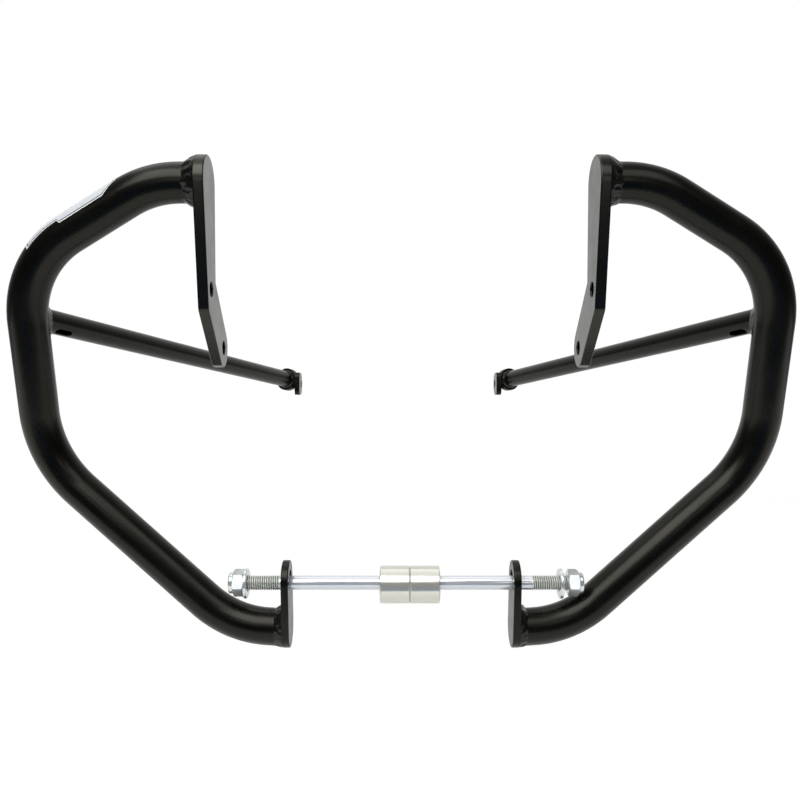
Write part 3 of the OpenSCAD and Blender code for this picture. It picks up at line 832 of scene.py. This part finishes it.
def washer(name, side, zinc):
    """A punched washer: rounded on one side, sharper on the other."""
    x, r, bore = NUT_SEAT + side * ROD_SHIFT - WASHER_GAP[name] - WASHER_T, WASHER_R, WASHER_BORE
    end = x + WASHER_T
    profile = [(x + 0.2, bore), (x, bore + 0.2), (x, r - 0.8), (x + 0.15, r - 0.35), (x + 0.5, r - 0.1),
               (x + 0.9, r), (end - 0.2, r), (end, r - 0.2), (end, bore + 0.4), (end - 0.2, bore + 0.1)]
    verts, faces = turned(profile, 96, drop=WASHER_DROP)
    piece(name + "_flat_washer", verts, faces, zinc, [name + "_washer"], side)


def nut_ring(x, r=None, lean=0):
    """One ring of the lock nut: round, or without a radius the hexagon, whose corners the
    chamfer draws back from the end that lean's sign names."""
    ring = []
    for k in range(120):
        flat = NUT_HALF / math.cos(math.tau * k / 120 % (math.pi / 3) - math.pi / 6)
        radius, depth = r, x
        if r is None:
            radius, depth = flat, x - lean * (flat - NUT_FACE_R) * math.tan(math.radians(30))
        turn = math.tau * k / 120 + math.radians(NUT_TURN)
        ring.append((depth, radius * math.sin(turn), radius * math.cos(turn)))
    return ring


def lock_nut(name, side, zinc):
    """A lock nut: chamfered hexagon, domed collar rolled over its insert."""
    seat, top = NUT_SEAT + side * ROD_SHIFT, NUT_H + COLLAR_H
    bore = [(0.0, 6.6), (0.35, 6.15), (10.1, 6.15), (10.1, 7.3), (12.0, 7.3), (12.35, 7.0)]
    collar = [(top, 7.25), (top - 0.05, 7.6), (12.2, 8.1), (11.7, 8.4), (11.1, 8.5), (9.7, 8.5),
              (9.3, 8.6), (NUT_H, 8.95), (NUT_H, NUT_FACE_R)]
    rings = [nut_ring(seat + x, r) for x, r in bore + collar]
    rings += [nut_ring(seat + NUT_H, lean=1), nut_ring(seat, lean=-1)]
    rings += [nut_ring(seat, NUT_FACE_R), nut_ring(seat, 8.9)]
    verts, faces = loft(rings, closed=True)
    piece(name + "_nut", verts, faces, zinc, [name + "_lock_nut"], side, sharp=24.0)


def insert_ring(name, side, white):
    """The lock nut's nylon insert."""
    x = NUT_SEAT + side * ROD_SHIFT + NUT_H + COLLAR_H - 2.4
    profile = [(x, 6.05), (x, 7.28), (x + 1.9, 7.28), (x + 2.15, 7.0), (x + 2.2, 6.6), (x + 2.0, 6.2),
               (x + 1.8, 6.05)]
    verts, faces = turned(profile, 72)
    piece(name + "_insert", verts, faces, white, [name + "_nylon_ring"], side)


# The bare label on the left guard tube

def label_low(along):
    """The angle of the label's lower edge, which steps up once and is cut off at its start."""
    step = min(1.0, max(0.0, (along - LABEL_STEP) / 1.5))
    return LABEL_LOW + LABEL_STEP_TURN * step + max(0.0, 12.0 - (along - LABEL_START)) * 2.6


def label_row(skin, along, point, direction):
    """Points across the label at one station: where each lies, which way it faces and how far
    it is from the label's edge."""
    mirror = Vector((-1.0, 1.0, 1.0))
    facing = Vector((0.0, -1.0, 0.0))
    facing = (facing - direction * facing.dot(direction)).normalized()
    outward = facing.cross(direction)
    if outward.z < 0:
        outward = -outward
    low, top = label_low(along), math.radians(LABEL_TOP)
    row = []
    for k in range(LABEL_COLUMNS + 1):
        angle = math.radians(low + (LABEL_TOP - low) * k / LABEL_COLUMNS)
        ray = facing * math.cos(angle) + outward * math.sin(angle)
        hit = skin.ray_cast((point + ray * 40.0) * mirror * MM, -ray * mirror)[0] / MM * mirror
        to_sides = TUBE_R * min(angle - math.radians(low), top - angle)
        row.append((hit, ray, max(0.0, min(to_sides, along - LABEL_START, LABEL_END - along))))
    return row


def label(skin, foil):
    """A thin silver label over the outer side of the upper run. It carries no print."""
    line = bent_line(CORNERS)
    along, rows = 0.0, []
    for (before, _), (point, direction) in zip(line[:1] + line, line):
        along += (point - before).length
        if LABEL_START - 0.5 <= along <= LABEL_END + 0.5:
            rows.append(label_row(skin, along, point, direction))
    # The outer skin stands above the tube, the inner one just under its surface
    verts, values = [], []
    for lift in (0.22, -0.1):
        for row in rows:
            verts += [tuple(hit + ray * lift) for hit, ray, _ in row]
            values += [inset for _, _, inset in row]
    width, height = LABEL_COLUMNS + 1, len(rows)
    under = width * height
    faces = []
    for i in range(height - 1):
        for k in range(LABEL_COLUMNS):
            a, b = i * width + k, (i + 1) * width + k
            faces += [(a, a + 1, b + 1, b), (under + a, under + b, under + b + 1, under + a + 1)]
    rim = list(range(width)) + [i * width + LABEL_COLUMNS for i in range(1, height)]
    rim += [(height - 1) * width + k for k in range(LABEL_COLUMNS - 1, -1, -1)]
    rim += [i * width for i in range(height - 2, 0, -1)]
    for a, b in zip(rim, rim[1:] + rim[:1]):
        faces.append((a, b, under + b, under + a))
    obj = piece("label", verts, faces, foil, side=-1)
    attribute = obj.data.attributes.new("inset", "FLOAT", "POINT")
    attribute.data.foreach_set("value", values)


# Stage, light and camera

def floor_glow(tree, where):
    """The floor's own glow. The camera sees the lamps' light and the shadow on the floor, filled
    up to white. In reflections the floor is dim below the part and bright farther off."""
    path, far = tree.nodes.new("ShaderNodeLightPath"), tree.nodes.new("ShaderNodeVectorMath")
    far.operation = "LENGTH"
    tree.links.new(where, far.inputs[0])
    fill = [(0.04, 0.48), (0.12, 0.54), (0.22, 0.61), (0.49, 0.80), (0.75, 0.92), (0.97, 0.96)]
    level = ramp(tree, remap(tree, far.outputs["Value"], 0.0, 1.0, 0.3, 3.1),
                 [(position, (value, value, value)) for position, value in fill])
    seen = calculate(tree, "MULTIPLY", path.outputs["Is Camera Ray"], level)
    mirrored = calculate(tree, "MULTIPLY", path.outputs["Is Glossy Ray"],
                         remap(tree, far.outputs["Value"], 0.30, 0.65, 0.6, 1.6))
    return calculate(tree, "ADD", seen, mirrored)


def stage():
    """A pale floor below the held part, and a bright wall behind it that the camera and the
    reflections see as white."""
    front, back, side, ground, top = -0.55, 3.0, 3.0, -0.30, 1.6
    floor_mat, tree, surface, where = shader("pale_floor")
    tone = ramp(tree, noise_field(tree, where, 3.0), [(0.3, (0.86, 0.86, 0.85)), (0.7, (0.90, 0.90, 0.89))])
    tree.links.new(tone, surface.inputs["Base Color"])
    surface.inputs["Roughness"].default_value = 0.8
    tree.links.new(floor_glow(tree, where), surface.inputs["Emission Strength"])
    surface.inputs["Emission Color"].default_value = (0.90, 0.90, 0.90, 1.0)
    floor = plane("floor", [(-side, front, ground), (side, front, ground), (side, back, ground),
                            (-side, back, ground)], floor_mat)
    wall_mat, tree, surface = shader("bright_wall")[:3]
    surface.inputs["Base Color"].default_value = (0.0, 0.0, 0.0, 1.0)
    path = tree.nodes.new("ShaderNodeLightPath")
    shown = calculate(tree, "MAXIMUM", path.outputs["Is Camera Ray"], path.outputs["Is Glossy Ray"])
    tree.links.new(shown, surface.inputs["Emission Strength"])
    surface.inputs["Emission Color"].default_value = (1.0, 1.0, 1.0, 1.0)
    wall = plane("wall", [(-side, back, ground), (side, back, ground), (side, back, top),
                          (-side, back, top)], wall_mat)


def plane(name, corners, material):
    """One flat face of the stage."""
    mesh = bpy.data.meshes.new(name)
    mesh.from_pydata(corners, [], [(0, 1, 2, 3)])
    mesh.materials.append(material)
    obj = bpy.data.objects.new(name, mesh)
    bpy.context.scene.collection.objects.link(obj)
    return obj


def softbox(name, place, target, width, height, power):
    """A rectangular lamp that faces its target. Sizes in metres, power in watts."""
    light = bpy.data.lights.new(name, "AREA")
    light.shape = "RECTANGLE"
    light.size, light.size_y, light.energy = width, height, power
    obj = bpy.data.objects.new(name, light)
    obj.location = place
    obj.rotation_euler = (Vector(target) - Vector(place)).to_track_quat("-Z", "Y").to_euler()
    bpy.context.scene.collection.objects.link(obj)


def studio():
    """A large softbox high on the left in front, dim ones on the right and overhead, a small
    card for each nut, and a room that is dark behind the camera and lighter behind the part."""
    softbox("main", (-0.48, -1.15, 1.28), (-0.1, 0.0, 0.15), 1.45, 1.15, 22.0)
    softbox("right", (0.75, -1.15, 1.28), (0.1, 0.0, 0.15), 0.9, 0.9, 4.5)
    softbox("top", (-0.3, 0.0, 1.55), (-0.1, 0.0, 0.2), 1.6, 1.4, 6.0)
    for name, side in SIDES:
        softbox(name + "_card", (side * 0.37, -1.10, 0.36), (side * 0.13, 0.0, 0.0), 0.26, 0.22, 0.30)
    world = bpy.data.worlds.new("room")
    bpy.context.scene.world = world
    world.use_nodes = True
    tree = world.node_tree
    nodes, links = tree.nodes, tree.links
    coords, tilt = nodes.new("ShaderNodeTexCoord"), nodes.new("ShaderNodeVectorMath")
    tilt.operation = "DOT_PRODUCT"
    tilt.inputs[1].default_value = (0.0, math.cos(math.radians(30.0)), math.sin(math.radians(30.0)))
    links.new(coords.outputs["Generated"], tilt.inputs[0])
    room = ramp(tree, remap(tree, tilt.outputs["Value"], 0.0, 1.0, -1.0, 1.0), [
        (0.015, (0.05, 0.12, 0.23)), (0.04, (0.08, 0.105, 0.14)), (0.09, (0.08, 0.082, 0.09)),
        (0.17, (0.06, 0.06, 0.06)), (0.50, (0.08, 0.08, 0.075)), (0.75, (0.27, 0.27, 0.26)),
        (1.0, (0.85, 0.85, 0.82))])
    path = nodes.new("ShaderNodeLightPath")
    seen = mixed(tree, path.outputs["Is Camera Ray"], room, (1.0, 1.0, 1.0, 1.0))
    links.new(seen, nodes["Background"].inputs["Color"])
    nodes["Background"].inputs["Strength"].default_value = 1.0


def camera():
    """Level, a little left of the middle, looking along +Y as the photograph does. Its place, lens
    and shift were fitted to the outlines of the tubes and spacers in the photograph."""
    data = bpy.data.cameras.new("camera")
    data.sensor_width, data.lens = 36.0, 36.93
    data.shift_x, data.shift_y = 0.0099, -0.0005
    data.clip_start = 0.01
    obj = bpy.data.objects.new("camera", data)
    obj.location = (-0.0071, -0.6605, 0.1473)
    obj.rotation_euler = (math.radians(90.0), 0.0, 0.0)
    bpy.context.scene.collection.objects.link(obj)
    bpy.context.scene.camera = obj


def build():
    """The whole picture: both bars, the rod with its hardware, the stage and the light."""
    camera()
    coat = powder_coat("powder_coat", 0.24, 0.30, 0.27)
    flat_coat = powder_coat("flat_powder_coat", 0.22, 0.30, 0.45)
    weld, zinc, white = weld_coat(), zinc_plate(), nylon()
    tree = tube_tree()
    for name, side in SIDES:
        tube = guard_tube(name, side, tree, coat)
        skin = skin_of(tube)
        upper_plate(name, side, flat_coat)
        lower_tab(name, side, coat)
        bar_welds(name, side, skin, weld)
        brace_tube(name, side, coat)
        foot_disc(name, side, coat)
        foot_lug(name, side, coat)
        lug_bead(name, side, weld)
        washer(name, side, zinc)
        lock_nut(name, side, zinc)
        insert_ring(name, side, white)
        if name == "left":
            label(skin, label_foil())
    through_rod(rod_steel(), thread_zinc_painted_shade())
    metal = turned_aluminium()
    spacer("left", metal)
    spacer("right", metal)
    stage()
    studio()
    bpy.context.scene.view_settings.view_transform = "Standard"


build()
